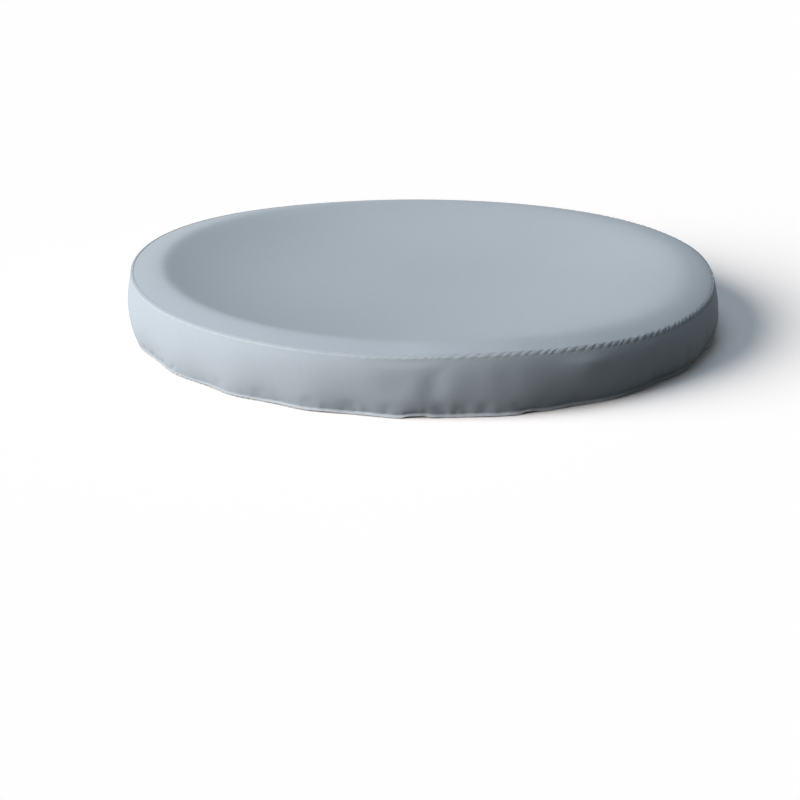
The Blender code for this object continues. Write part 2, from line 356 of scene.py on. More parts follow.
# %% Sections of the skirt
SEAM_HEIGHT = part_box("skirt_front_panel")[1].z
CLOTH = 0.0010  # thickness
GAP = 0.0003  # between two layers of cloth
BULGE = 0.018  # how far the wall stands out at the two sides
BULGE_LOW = 1.35  # more than 1 puts the widest place below the middle
FRONT_BULGE = 0.013  # the same at the front and the back
FRONT_BULGE_LOW = 0.80
SIDE_POWER = 4  # more keeps the bulge of the sides nearer to them
DRAW_IN = 0.008  # how far the wall comes in at its foot
DRAW_POWER = 6.0  # more keeps that nearer to the foot
FOOT_HEIGHT = 0.0070
LAP_FOOT = SEAM_HEIGHT - 0.006  # lower edge of the lap
ROLL_START = math.radians(14)  # slope of the lap at its upper edge
ROLL_TIGHT = math.radians(21)  # the same where the thread is tight
ROLL_END = math.radians(80)  # slope at its lower edge
SIDE_RISE = 0.013  # how much higher the rim lies at the two sides than at the front and the back
BACK_RISE = 0.8  # and how far that reaches round the back rather than the front
# Where the rim is pushed out of round: degrees from the front, half of the width, and how far
RIM_PUSHES = ((-118, 24, 0.022), (140, 25, 0.012))
# Where the seam runs lower or higher: degrees from the front, half of the width, and how much lower
SEAM_SAGS = ((62, 30, 0.021), (9, 11, -0.006))
SAG_POWER = 4  # a sag has a flatter middle than a push
EFFECTS = ("up", "roll_up", "roll_out", "roll_down", "rise", "bulge", "front_bulge", "fold", "pucker")
EFFECTS += ("gather", "crease", "waist", "flare", "tuck", "lift", "ruche", "wear")


def way_down(height):
    """0 at the lower edge of the lap and 1 at the foot of the wall."""
    return np.clip((LAP_FOOT - height) / (LAP_FOOT - FOOT_HEIGHT), 0, 1)


def wall_radius(height):
    """Radius of the skirt before it bulges and folds."""
    return SEAM_RADIUS - DRAW_IN * way_down(height) ** DRAW_POWER


def sideness(angle):
    """1 at the two sides, and 0 at the front and the back."""
    return np.cos(angle) ** SIDE_POWER


def side_rise(angle):
    """How far the rim is lifted."""
    return SIDE_RISE * np.cos(angle) ** 2 * (1 + BACK_RISE * np.sin(angle))


def rim_push(angle):
    """How far the rim is out of round."""
    return hills(angle, RIM_PUSHES, power=2)


def seam_sag(angle):
    """How far the seam lies below its level place."""
    return hills(angle, SEAM_SAGS, SAG_POWER)


def section(radius, height, drop=1.0, **shares):
    """Rows of the skirt's line: places, way down from the seam, and the share of each row in every effect."""
    rows = {"radius": radius, "height": height, "drop": np.broadcast_to(drop, len(radius))}
    for effect in EFFECTS:
        rows[effect] = np.broadcast_to(shares.get(effect, 0.0), len(radius))
    return rows


# %% Lap of the rim seam
LAP_ROWS = 12
LAP_CORNER = 5.0  # more than 1 puts the bend of the lap near its lower edge
LAP_ROLL = 0.55  # less than 1 bends it soon, as where the thread rolls the lap over the corner
BRIGHT_EDGE_WIDTH = 0.003  # width of a lightened edge: rubbed coating and painted highlight


def lap_line(start, bend):
    """Places of the lap's rows from its upper edge, and how level the cloth is there."""
    drop = np.linspace(0, SEAM_LAP, LAP_ROWS)
    turn = start + (ROLL_END - start) * (drop / SEAM_LAP) ** bend
    between = (turn[1:] + turn[:-1]) / 2
    out = np.concatenate([[0], np.cumsum(np.diff(drop) * np.cos(between))])
    down = np.concatenate([[0], np.cumsum(np.diff(drop) * np.sin(between))])
    return drop, out, down, np.cos(turn)


def lap_wear(drop):
    """How much the lap's upper edge and corner are lightened: rubbed coating, and a painted highlight."""
    return sum(np.exp(-(((drop - at) / BRIGHT_EDGE_WIDTH) ** 2)) for at in (0, SEAM_LAP))


def lap_section():
    """Rows of the lap, which turns over a crisp corner, or rolls over it where the thread is tight."""
    drop, out, down, level = lap_line(ROLL_START, LAP_CORNER)
    _, rolled_out, rolled_down, rolled_level = lap_line(ROLL_TIGHT, LAP_ROLL)
    return section(
        wall_radius(LAP_FOOT) + out - out[-1],
        LAP_FOOT + down[-1] - down,
        drop,
        up=level,
        roll_up=rolled_level - level,
        roll_out=rolled_out - out,
        roll_down=rolled_down - down,
        rise=1.0,
        pucker=1.0,
        wear=lap_wear(drop),
    )


# %% Wall of the skirt
WAIST_TOP = 0.045
WAIST_HEIGHT = 0.0105
WAIST_RADIUS = wall_radius(WAIST_HEIGHT)
WAIST_DRAW = 0.009  # how much further in the waist is where the elastic pulls hardest
CALM_BELOW_SEAM = 0.050  # creases fade in over this height below the lap
GATHER_REACH = 0.018  # how far up the wall a gather runs
TUCK_REACH = 0.005  # how far up a notch runs
LIFT_REACH = 0.040  # how far up the cloth is lifted with the lower edge
FINE_BELOW = 0.016  # rows lie close together this far below the lap
FINE_ROWS = 6
WALL_ROWS = (17, 8)  # rows from there down to the top of the waist, and on to its narrowest place
ROLL_REACH = 0.025  # how far down the wall the roll of the lap fades
lap_end = {name: values[-1] for name, values in lap_section().items()}


def wall_section():
    """Rows from the lap down to the waist."""
    stops = (LAP_FOOT, LAP_FOOT - FINE_BELOW, WAIST_TOP, WAIST_HEIGHT)
    counts = (FINE_ROWS, *WALL_ROWS)
    height = np.concatenate([np.linspace(a, b, n + 1)[1:] for a, b, n in zip(stops, stops[1:], counts)])
    radius = wall_radius(height)
    below_lap = LAP_FOOT - height
    rise = height - WAIST_HEIGHT
    rolled = np.exp(-below_lap / ROLL_REACH)
    return section(
        radius,
        height,
        SEAM_LAP + below_lap,
        roll_out=lap_end["roll_out"] * rolled,
        roll_down=lap_end["roll_down"] * rolled,
        rise=height / LAP_FOOT,
        bulge=BULGE * np.sin(np.pi * way_down(height) ** BULGE_LOW),
        front_bulge=FRONT_BULGE * np.sin(np.pi * way_down(height) ** FRONT_BULGE_LOW),
        fold=(below_lap / below_lap[-1]) ** 2,
        pucker=1.0,
        gather=np.exp(-rise / GATHER_REACH),
        crease=smooth_step(below_lap / CALM_BELOW_SEAM),
        waist=way_down(height) ** DRAW_POWER,
        wear=lap_wear(SEAM_LAP + below_lap),
        tuck=np.exp(-rise / TUCK_REACH),
        lift=np.exp(-rise / LIFT_REACH),
    )


# %% Lip and hem of the skirt
LIP_FLARE = 0.0085  # how far out the lip stands at most
LIP_ROLL = 0.0020  # radius of the roll at the lower edge
LIP_ROWS = 2  # between the waist and the roll
ROLL_ROWS = 6  # round a roll or a fold
HEM_ROWS = 7  # along the level run
CASING_ROWS = 3
LIP_GATHER = 0.35  # share of the gathers and creases that reach the lip
LIP_CENTRE = WAIST_RADIUS - LIP_ROLL  # radius of the middle of the roll
ELASTIC_WIDTH = 0.012
HEM_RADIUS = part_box("hem_elastic")[1].x - ELASTIC_WIDTH - CLOTH
CASING_HEIGHT = 0.0041
CASING_WIDTH = 0.020


def lip_shares(share):
    """Shares in the effects that fade together from the lip inwards."""
    shares = dict.fromkeys(("fold", "waist", "tuck", "lift"), share)
    return {**shares, "gather": LIP_GATHER * share, "crease": LIP_GATHER * share}


def lip_section():
    """Rows below the waist: the lip, which may flare out, and the roll at the lower edge."""
    down = np.linspace(WAIST_HEIGHT, LIP_ROLL, LIP_ROWS + 2)[1:-1]
    turn = np.linspace(0, -math.pi / 2, ROLL_ROWS)
    radius = np.concatenate([0 * down + WAIST_RADIUS, LIP_CENTRE + LIP_ROLL * np.cos(turn)])
    height = np.concatenate([down, LIP_ROLL + LIP_ROLL * np.sin(turn)])
    flared = np.minimum((WAIST_HEIGHT - height) / (WAIST_HEIGHT - LIP_ROLL), 1)
    # the lip is lightened: rubbed coating, and a painted highlight where its edge catches the light
    return section(radius, height, flare=flared, wear=1.0, **lip_shares(1.0))


def hem_section():
    """Rows under the cover: the level run inwards, and the casing folded back over it."""
    start = LIP_CENTRE
    level = np.linspace(start, HEM_RADIUS, HEM_ROWS + 1)[1:]
    half = CASING_HEIGHT / 2
    turn = np.radians(np.linspace(-90, -270, ROLL_ROWS))[1:]
    back = np.linspace(HEM_RADIUS, HEM_RADIUS + CASING_WIDTH, CASING_ROWS + 1)[1:]
    radius = np.concatenate([level, HEM_RADIUS + half * np.cos(turn), back])
    height = np.concatenate([0 * level, half + half * np.sin(turn), 0 * back + CASING_HEIGHT])
    inwards = np.concatenate([(start - level) / (start - HEM_RADIUS), 0 * turn + 1, 0 * back + 1])
    outer = (1 - inwards) ** 2
    return section(radius, height, flare=outer, ruche=inwards, **lip_shares(outer))


sections = [lap_section(), wall_section(), lip_section(), hem_section()]
skirt_rows = {name: np.concatenate([part[name] for part in sections]) for name in sections[0]}
steps = np.hypot(np.diff(skirt_rows["radius"]), np.diff(skirt_rows["height"]))
skirt_cloth = np.concatenate([[0], np.cumsum(steps)])  # way along the cloth from its upper edge
print(f"skirt: {len(skirt_cloth)} rows, {skirt_cloth[-1] * 1000:.0f} mm of cloth")

# %% [markdown]
# ## The two halves of the skirt
#
# The skirt is cut as two long strips that meet at the sides. Each strip becomes a grid: the rows of the line
# above, repeated every few millimetres round the cover, and twice as often near the seam, where the puckers
# are. NumPy moves whole rows at once. The grid is the outer face of the cloth, and a Solidify modifier then
# gives it a thickness on the inside. The grid also gets a UV map in metres of flat cloth, so that a weave can
# follow the cloth wherever it goes, and attributes that say where the colour is lightened, partly for rubbed
# coating and partly as a painted highlight, and where painted shade darkens the pinches of the seam.

# %% Skirt surface
def skirt_surface(angle, rows, depth=0.0):
    """Points of some rows of the skirt at some angles, moved inwards by a depth."""
    row = {name: values[rows, None] for name, values in skirt_rows.items()}
    angle = angle[None, :]
    out = row["front_bulge"] + sideness(angle) * (row["bulge"] - row["front_bulge"])
    out = out + row["fold"] * long_folds(angle) - depth
    out = out + row["pucker"] * seam_puckers(angle, row["drop"])
    out = out + row["gather"] * gathers(angle)
    out = out + row["crease"] * creases(angle, row["height"])
    out = out + (row["flare"] * LIP_FLARE - row["waist"] * WAIST_DRAW) * flare(angle)
    out = out - row["tuck"] * NOTCH_TUCK * notches(angle)
    tight = tightness(angle)
    up = row["up"] + tight * row["roll_up"]
    radius = row["radius"] + tight * row["roll_out"] + out * np.sqrt(1 - up**2)
    radius = radius + row["rise"] * rim_push(angle)
    lift = row["lift"] * edge_lift(angle) + row["ruche"] * ruche(angle)
    lift = lift + row["rise"] * (side_rise(angle) - seam_sag(angle))
    height = row["height"] - tight * row["roll_down"] + out * up + lift
    return np.stack([radius * np.cos(angle), radius * np.sin(angle), height], -1)


# %% Sheets from points
SMOOTH_ANGLE = math.radians(50)


def select_only(piece):
    """Select one piece alone, since an operator acts on all that is selected."""
    bpy.ops.object.select_all(action="DESELECT")
    piece.select_set(True)
    bpy.context.view_layer.objects.active = piece


def faces_between(upper, lower):
    """Faces between two rows of points, of which one may be a single point or have twice as many spaces."""
    faces = []
    if len(upper) == 1:
        faces.extend([upper[0], lower[i], lower[i + 1]] for i in range(len(lower) - 1))
    elif len(upper) == len(lower):
        for i in range(len(upper) - 1):
            faces.append([upper[i], lower[i], lower[i + 1], upper[i + 1]])
    elif len(upper) < len(lower):
        for i in range(len(upper) - 1):
            a, b, c = lower[2 * i : 2 * i + 3]
            faces.extend([[upper[i], a, b], [upper[i], b, upper[i + 1]], [upper[i + 1], b, c]])
    else:
        for i in range(len(lower) - 1):
            a, b, c = upper[2 * i : 2 * i + 3]
            faces.extend([[a, lower[i], b], [b, lower[i], lower[i + 1]], [b, lower[i + 1], c]])
    return faces


def finish_sheet(name, rows, flat, wear, painted_shade, thickness, closed):
    """Cloth from rows of points, their places on flat cloth, wear with painted highlight, and painted shade.
    """
    starts = np.cumsum([0] + [len(row) for row in rows])
    places = [list(range(start, start + len(row))) for start, row in zip(starts, rows)]
    if closed:
        places = [place + place[:1] if len(place) > 1 else place for place in places]
    faces = [face for pair in zip(places, places[1:]) for face in faces_between(*pair)]
    mesh = bpy.data.meshes.new(name)
    mesh.from_pydata(np.concatenate(rows).tolist(), [], faces)
    corners = np.empty(len(mesh.loops), np.int32)
    mesh.loops.foreach_get("vertex_index", corners)
    flat = np.concatenate(flat)[corners].astype(np.float32)
    mesh.uv_layers.new(name="cloth").uv.foreach_set("vector", flat.ravel())
    # attributes for the colour: lightening for wear and painted highlight, and painted shade in the pinches
    for kind, values in (("wear", wear), ("painted_shade", painted_shade)):
        values = np.clip(np.concatenate(values), 0, 1).astype(np.float32)
        mesh.attributes.new(kind, "FLOAT", "POINT").data.foreach_set("value", values)
    piece = bpy.data.objects.new(name, mesh)
    bpy.context.scene.collection.objects.link(piece)
    select_only(piece)
    solid = piece.modifiers.new("thickness", "SOLIDIFY")
    solid.thickness = thickness
    solid.offset = -1.0
    bpy.ops.object.modifier_apply(modifier=solid.name)
    bpy.ops.object.shade_smooth_by_angle(angle=SMOOTH_ANGLE)
    piece.data.calc_loop_triangles()
    print(f"{name}: {len(piece.data.loop_triangles)} triangles")
    return piece


def strip(name, angles, rows, thickness, depth=0.0, closed=False):
    """A strip of the skirt's surface. Each row has its own angles."""
    points, flat, wear, painted_shade = [], [], [], []
    for row, angle in zip(rows, angles):
        points.append(skirt_surface(angle, [row], depth)[0])
        flat.append(np.stack([angle * SEAM_RADIUS, 0 * angle + skirt_cloth[row]], -1))
        # the lip is lightened where it flares, the lap's edges where the thread is slack: wear and painted
        # highlight
        rubbed_and_highlit = flare(angle) if skirt_rows["flare"][row] > 0 else 1 - tightness(angle)
        wear.append(skirt_rows["wear"][row] * rubbed_and_highlit)
        # painted shade in the pinches of the seam
        painted_shade.append(seam_painted_shade(angle, skirt_rows["drop"][row]))
    return finish_sheet(name, points, flat, wear, painted_shade, thickness, closed)


# %% Skirt halves
SKIRT_SPACES = 576  # columns of faces in each half, away from the seam
seam_gap = GAP / 2 / SEAM_RADIUS
skirt_angles = []
for row in range(len(skirt_cloth)):
    spaces = SKIRT_SPACES * (2 if row < LAP_ROWS + FINE_ROWS else 1)
    skirt_angles.append(np.linspace(seam_gap, np.pi - seam_gap, spaces + 1))
front_angles = [angle + np.pi for angle in skirt_angles]
skirt_back = strip("skirt_back_cloth", skirt_angles, range(len(skirt_cloth)), CLOTH)
skirt_front = strip("skirt_front_cloth", front_angles, range(len(skirt_cloth)), CLOTH)

# %% [markdown]
# ## The top panel
#
# The top is one disc of cloth: a broad band that slopes down a little to the seam, and a shallow dish in the
# middle, where nothing carries the cloth. The edge of the dish is crisp towards the front and the left, and
# soft on the right. The edge of the disc itself goes down inside the skirt's lap.
#
# A flat disc with a cloth simulation would sag too, but the depth of the dish is known, so a formula gives it
# directly. The points lie on rings. Towards the middle the rings are small, so every few rings their number
# of points is halved.

# %% Shape of the top
RIM_COLUMNS = 2304
DISH_SAG = 0.055
FLAT_POWER = 4.0  # the dish is flat inside a steep edge on the crisp side
ROUND_POWER = 2.6  # and round on the other
DISH_RADIUS = 1.036
BAND_SHIFT = 0.025  # how far the band is wider on one side than in the mean
WIDE_SIDE = from_front(-120)
RIDGE_RISE = 0.003  # the ridge between the dish and the band is rounded off by about as much
SOFT_RISE = 0.021  # and by more on the soft side
CRISP_EDGE = 0.014
SOFT_EDGE = 0.100
SOFT_POWER = 1.5  # more makes the crisp part longer
CRISP_SIDE = from_front(-50)
SLIP = 0.5  # share of a low place of the seam that the band alone makes up
SLIP_POWER = 5  # the rest lowers the outer part of the dish
RISE_POWER = 3  # how a high place of the rim fades towards the middle
SLACK = 0.0012
SLACK_REACH = 0.3  # soft waves grow over this way from the edge of the dish
SLACK_WAVES = ((4.1, 2.3, 0), (-5.2, 3.1, 1), (1.7, 6.3, 2))  # radians a metre across and back, and phase

rim_turn = np.arange(RIM_COLUMNS) * 2 * np.pi / RIM_COLUMNS
seam_edge = skirt_surface(rim_turn, [0], CLOTH + GAP)[0]
band_outer = (np.hypot(*seam_edge[:, :2].T) - rim_push(rim_turn)).mean()
seam_drop = RIM_HEIGHT - (seam_edge[:, 2] - side_rise(rim_turn) + seam_sag(rim_turn)).mean()


def dish_edge(angle):
    """Radius where the dish starts."""
    return DISH_RADIUS - BAND_SHIFT * np.cos(angle - WIDE_SIDE)


def softness(angle):
    """0 on the crisp side of the dish and 1 on the soft side."""
    return 0.5 - 0.5 * np.cos(angle - CRISP_SIDE)


def top_height(radius, angle):
    """Height of the band and the dish."""
    edge = dish_edge(angle)
    inside = edge - radius
    soft = softness(angle)
    rounding = CRISP_EDGE + (SOFT_EDGE - CRISP_EDGE) * soft**SOFT_POWER
    sunk = (inside + np.sqrt(inside**2 + rounding**2)) / 2
    power = FLAT_POWER + (ROUND_POWER - FLAT_POWER) * soft
    sag = DISH_SAG * (1 - np.clip(1 - sunk / edge, 0, 1) ** power)
    width = band_outer - edge
    sag = sag * smooth_step((band_outer - radius) / width)
    outer = smooth_step(radius / DISH_RADIUS)
    ridge = RIDGE_RISE + SOFT_RISE * soft * outer
    band_drop = seam_drop + ridge + SLIP * seam_sag(angle)
    reach = np.sqrt(width**2 + rounding**2)
    fallen = (np.sqrt(inside**2 + rounding**2) - inside) / (reach + width)
    slope = math.tan(ROLL_START) + tightness(angle) * (math.tan(ROLL_TIGHT) - math.tan(ROLL_START))
    crown = fallen ** (slope * reach / band_drop) * outer
    x, y = radius * np.cos(angle), radius * np.sin(angle)
    waves = sum(np.sin(a * x + b * y + c) for a, b, c in SLACK_WAVES)
    slack = SLACK * waves * smooth_step(inside / SLACK_REACH)
    rise = side_rise(angle) * (radius / band_outer) ** RISE_POWER
    rise = rise - (1 - SLIP) * seam_sag(angle) * (radius / band_outer) ** SLIP_POWER
    return RIM_HEIGHT + ridge - sag + slack - band_drop * crown + rise


# %% Rings of the top
SEAM_ZONE = 0.015  # rings lie close together this far from the seam
DISH_ZONE = (0.80, 1.05)  # radii of the rings that round off the edge of the dish
INNER_ZONES = (0.40, 0.18, 0.09, 0.0)
FIRST_RING = 0.03
HAIR = 1e-9  # keeps the first of the rings near the seam inside their zone, however it is rounded
FLANGE_ROWS = (0, 2, 4, 7, LAP_ROWS - 1)  # rows of the lap that the edge of the top follows
FLANGE_CLEAR = 0.003  # further in than the lap, where puckers dent that
PUSH_POWER = 4  # a rim that is out of round leaves the middle of the top as it is
near_seam = band_outer - SEAM_ZONE
zone_starts = (near_seam, DISH_ZONE[1], DISH_ZONE[0], *INNER_ZONES)


def ring_angles(radius):
    """Angles of the points of a ring, which has half as many with each zone further in."""
    zone = next(i for i, start in enumerate(zone_starts) if radius >= start)
    count = RIM_COLUMNS // 2**zone
    return np.arange(count) * 2 * np.pi / count


radii = np.concatenate(
    [
        np.linspace(FIRST_RING, DISH_ZONE[0], 16),
        np.linspace(*DISH_ZONE, 18)[1:],
        np.linspace(DISH_ZONE[1], near_seam, 8)[1:-1],
        np.linspace(near_seam, band_outer, 7)[:-1] + HAIR,
    ]
)
rings = [np.array([[0, 0, top_height(0.0, 0.0)]])]
painted_shade = [np.zeros(1)]
for radius in radii:
    angle = ring_angles(radius)
    drop = radius - band_outer
    height = top_height(radius, angle) + seam_puckers(angle, drop)
    pushed = radius + rim_push(angle) * (radius / band_outer) ** PUSH_POWER
    rings.append(np.stack([pushed * np.cos(angle), pushed * np.sin(angle), height], -1))
    painted_shade.append(seam_painted_shade(angle, drop))
for row in FLANGE_ROWS:
    depth = CLOTH + GAP + FLANGE_CLEAR * tightness(rim_turn) * (row > 0)
    rings.append(skirt_surface(rim_turn, [row], depth)[0])
    painted_shade.append(seam_painted_shade(rim_turn, skirt_rows["drop"][row]))
print(len(rings), "rings, with", len(rings[1]), "to", len(rings[-1]), "points")

# %% Top cloth
flat = [np.zeros((1, 2))]
top_radius = 0.0
for inner, outer in zip(rings, rings[1:]):
    reach = [np.hypot(ring[:, 0], ring[:, 1]) for ring in (inner, outer)]
    top_radius += math.hypot(reach[1].mean() - reach[0].mean(), outer[:, 2].mean() - inner[:, 2].mean())
    flat.append(outer[:, :2] / reach[1][:, None] * top_radius)
wear = [np.zeros(len(ring)) for ring in rings]
top_cloth = finish_sheet("top_cloth", rings, flat, wear, painted_shade, CLOTH, closed=True)
print(f"the top is cut {2 * top_radius:.3f} m across")

# %% [markdown]
# ## Seam tapes
#
# The needle holes of a waterproof cover are sealed from the inside with a heat-bonded tape. One tape runs
# behind the rim seam, and one behind each side seam. They follow the same surface as the skirt, a little
# further in, so the same function makes them.

# %% Tapes
TAPE = 0.0005
SIDE_TAPE_WIDTH = 0.024
SIDE_TAPE_DEPTH = 0.0019  # clear of the cloth where the wall slopes
RIM_TAPE_DEPTH = 2 * (CLOTH + GAP) + FLANGE_CLEAR
SIDE_SEAMS = {"right": 0.0, "left": np.pi}
lap_middle = range(2, LAP_ROWS - 1)
below_lap = range(LAP_ROWS + 1, LAP_ROWS + len(sections[1]["radius"]))
across_seam = np.linspace(-0.5, 0.5, 7) * SIDE_TAPE_WIDTH / SEAM_RADIUS
rim_steps = rim_turn[::2]

rim_tape = strip("rim_tape", [rim_steps] * len(lap_middle), lap_middle, TAPE, RIM_TAPE_DEPTH, closed=True)
side_tapes = {}
for side, seam in SIDE_SEAMS.items():
    angles = [across_seam + seam] * len(below_lap)
    side_tapes[side] = strip(f"{side}_side_tape", angles, below_lap, TAPE, SIDE_TAPE_DEPTH)

# %% [markdown]
# ## Stitches
#
# A lockstitch shows as a row of short, plump bits of thread that dive into the cloth at both ends. Each is
# a small ball, stretched along the row. An Array modifier repeats it, and a Curve modifier lays the row along
# a guide drawn on the cloth. There are thousands of stitches, so each one has few faces.

# %% One row of stitches
STITCH_PITCH = 0.0046
STITCH_LENGTH = 0.0040
THREAD = 0.0011
THREAD_SEGMENTS = 6
THREAD_RINGS = 5


def thread_row(name, path, closed):
    """Stitches along a path of points on the cloth."""
    line = bpy.data.curves.new(name + "_guide", "CURVE")
    line.dimensions = "3D"
    spline = line.splines.new("POLY")
    spline.points.add(len(path) - 1)
    spline.points.foreach_set("co", np.c_[path, np.ones(len(path))].ravel())
    spline.use_cyclic_u = closed
    guide = bpy.data.objects.new(name + "_guide", line)
    bpy.context.scene.collection.objects.link(guide)
    ends = np.concatenate([path, path[:1]]) if closed else path
    length = np.linalg.norm(np.diff(ends, axis=0), axis=1).sum()
    count = round(length / STITCH_PITCH)

    bpy.ops.object.select_all(action="DESELECT")
    bpy.ops.mesh.primitive_uv_sphere_add(segments=THREAD_SEGMENTS, ring_count=THREAD_RINGS, radius=0.5)
    row = bpy.context.object
    row.name = name
    bpy.ops.object.mode_set(mode="EDIT")
    bpy.ops.transform.rotate(value=math.pi / 2, orient_axis="Y", center_override=(0, 0, 0))
    bpy.ops.transform.resize(value=(STITCH_LENGTH, THREAD, THREAD), center_override=(0, 0, 0))
    bpy.ops.transform.translate(value=(length / count / 2, 0, 0))
    bpy.ops.object.mode_set(mode="OBJECT")
    copies = row.modifiers.new("copies", "ARRAY")
    copies.count = count
    copies.use_relative_offset = False
    copies.use_constant_offset = True
    copies.constant_offset_displace = (length / count, 0, 0)
    along = row.modifiers.new("along", "CURVE")
    along.object = guide
    bpy.ops.object.modifier_apply(modifier=copies.name)
    bpy.ops.object.modifier_apply(modifier=along.name)
    bpy.ops.object.shade_smooth()
    bpy.data.objects.remove(guide)
    print(f"{name}: {count} stitches, {length:.2f} m")
    return row


# %% Rows of stitches
PROUD = 0.0002  # how far the middle of a thread stands out of the cloth
SIDE_STITCH_SPREAD = 0.010
inset_rows = round(STITCH_INSET / SEAM_LAP * (LAP_ROWS - 1))
upper_row = [inset_rows]
lower_row = [LAP_ROWS - 1 - inset_rows]
casing_row = [-2]  # the last but one, beside the edge of the casing

rim_upper = thread_row("rim_stitches_upper", skirt_surface(rim_turn, upper_row, -PROUD)[0], True)
rim_lower = thread_row("rim_stitches_lower", skirt_surface(rim_turn, lower_row, -PROUD)[0], True)
side_rows = {}
for side, seam in SIDE_SEAMS.items():
    for end in ("front", "back"):
        way_round = 1 if (side == "right") == (end == "back") else -1
        angle = np.array([seam + way_round * SIDE_STITCH_SPREAD / 2 / SEAM_RADIUS])
        path = skirt_surface(angle, list(below_lap), -PROUD)[:, 0]
        side_rows[side, end] = thread_row(f"{side}_side_stitches_{end}", path, False)
hem_path = skirt_surface(rim_turn, casing_row)[0] + np.array([0, 0, PROUD])
hem_row = thread_row("hem_stitches", hem_path, True)

# %% [markdown]
# ## The elastic
#
# A flat braided elastic lies loose in the casing and draws the hem in. Its section is a flattened circle,
# with every second point pushed out for the ribs of the braid. Spinning that section round the middle gives
# the ring, and the ring then takes the crinkles of the casing round it.

# %% Elastic
ELASTIC_THICKNESS = 0.0013
ELASTIC_RADIUS = HEM_RADIUS + CLOTH + ELASTIC_WIDTH / 2
ELASTIC_SIDES = 28
ELASTIC_STEPS = 720
RIB_PUSH = 1.08

bpy.ops.object.select_all(action="DESELECT")
bpy.ops.mesh.primitive_circle_add(vertices=ELASTIC_SIDES, radius=0.5, location=(0, 0, 0))
elastic = bpy.context.object
elastic.name = "hem_elastic_band"
for point in list(elastic.data.vertices)[::2]:
    point.co *= RIB_PUSH
bpy.ops.object.mode_set(mode="EDIT")
bpy.ops.mesh.select_all(action="SELECT")
bpy.ops.transform.rotate(value=math.pi / 2, orient_axis="X", center_override=(0, 0, 0))
bpy.ops.transform.resize(value=(ELASTIC_WIDTH, 1, ELASTIC_THICKNESS), center_override=(0, 0, 0))
bpy.ops.transform.translate(value=(ELASTIC_RADIUS, 0, CASING_HEIGHT / 2))
bpy.ops.mesh.spin(steps=ELASTIC_STEPS, angle=2 * math.pi, center=(0, 0, 0), axis=(0, 0, 1))
bpy.ops.mesh.select_all(action="SELECT")
bpy.ops.mesh.remove_doubles(threshold=0.00002)
bpy.ops.mesh.normals_make_consistent(inside=False)
bpy.ops.object.mode_set(mode="OBJECT")
bpy.ops.object.shade_smooth()
for point in elastic.data.vertices:
    point.co.z += ruche(math.atan2(point.co.y, point.co.x))
print("elastic:", len(elastic.data.polygons), "faces")

# %% [markdown]
# ## Helpers for finishes
#
# A finish is a small tree of nodes. One function adds a node, sets its values and joins it to the nodes
# before it. Colours are written as they look on a screen, and another function turns them into the linear
# values that a shader needs.

# %% Node and colour helpers
def linear(hex_colour):
    """Linear RGBA of an sRGB colour such as "AEB9C2"."""
    srgb = [int(hex_colour[i : i + 2], 16) / 255 for i in (0, 2, 4)]
    return [c / 12.92 if c <= 0.04045 else ((c + 0.055) / 1.055) ** 2.4 for c in srgb] + [1.0]


def add_node(tree, kind, settings=(), values=(), links=()):
    """A node with its settings and its sockets' values, whose other sockets take the outputs of nodes."""
    node = tree.nodes.new("ShaderNode" + kind)
    for name, value in dict(settings).items():
        setattr(node, name, value)
    for socket, value in dict(values).items():
        node.inputs[socket].default_value = value
    for socket, source in dict(links).items():
        output = source if isinstance(source, bpy.types.NodeSocket) else source.outputs[0]
        tree.links.new(output, node.inputs[socket])
    return node


def new_finish(name, **values):
    """A material with its tree and its shader, whose even values are set on its own sockets."""
    material = bpy.data.materials.new(name)
    material.use_nodes = True
    shader = material.node_tree.nodes["Principled BSDF"]
    for socket, value in values.items():
        shader.inputs[socket.replace("_", " ")].default_value = value
    return material, material.node_tree, shader


def plug(tree, node, **sources):
    """Join nodes to the sockets of a node that is there already."""
    for socket, source in sources.items():
        tree.links.new(source.outputs[0], node.inputs[socket.replace("_", " ")])


# %% [markdown]
# ## Coated polyester
#
# The cloth is a plain weave of polyester, coated to keep water out. The coating fills the weave, so the cloth
# is matt with a weak shine, and almost one colour: it is a little lighter and darker in soft patches, and
# paler along the edges, partly where the coating is rubbed and partly as a painted highlight where an edge
# catches the light. Painted shade darkens the pinches of the seam.

# %% Coated polyester
THREAD_SPACING = 0.004  # the real half millimetre is too fine to show, so it is drawn eight times as coarse
WAVE_PERIOD = 0.314  # length of a wave texture's period at scale 1, in metres
PATCH_SIZE = 0.30
FLECK_SIZE = 0.02
CRUMPLE_SIZE = 0.05

cloth_finish, tree, shader = new_finish(
    "coated_polyester", IOR=1.48, Specular_IOR_Level=0.2, Sheen_Weight=0.08, Sheen_Roughness=0.5
)
place = add_node(tree, "TexCoord").outputs["Object"]
patches = add_node(tree, "TexNoise", {}, {"Scale": 1 / PATCH_SIZE, "Detail": 3.0}, {"Vector": place})
flecks = add_node(tree, "TexNoise", {}, {"Scale": 1 / FLECK_SIZE, "Detail": 2.0}, {"Vector": place})
tone = add_node(
    tree, "MixRGB", {}, {"Color1": linear("A1ADB6"), "Color2": linear("A9B5BE")}, {"Fac": patches}
)
# Sockets 1 and 2 of a map range are the range that comes in, and 3 and 4 the one that goes out
fleck_share = add_node(tree, "MapRange", {}, {1: 0.35, 2: 0.65, 3: 0.0, 4: 0.3}, {"Value": flecks})
flecked = add_node(tree, "MixRGB", {}, {"Color2": linear("ABB6BF")}, {"Fac": fleck_share, "Color1": tone})
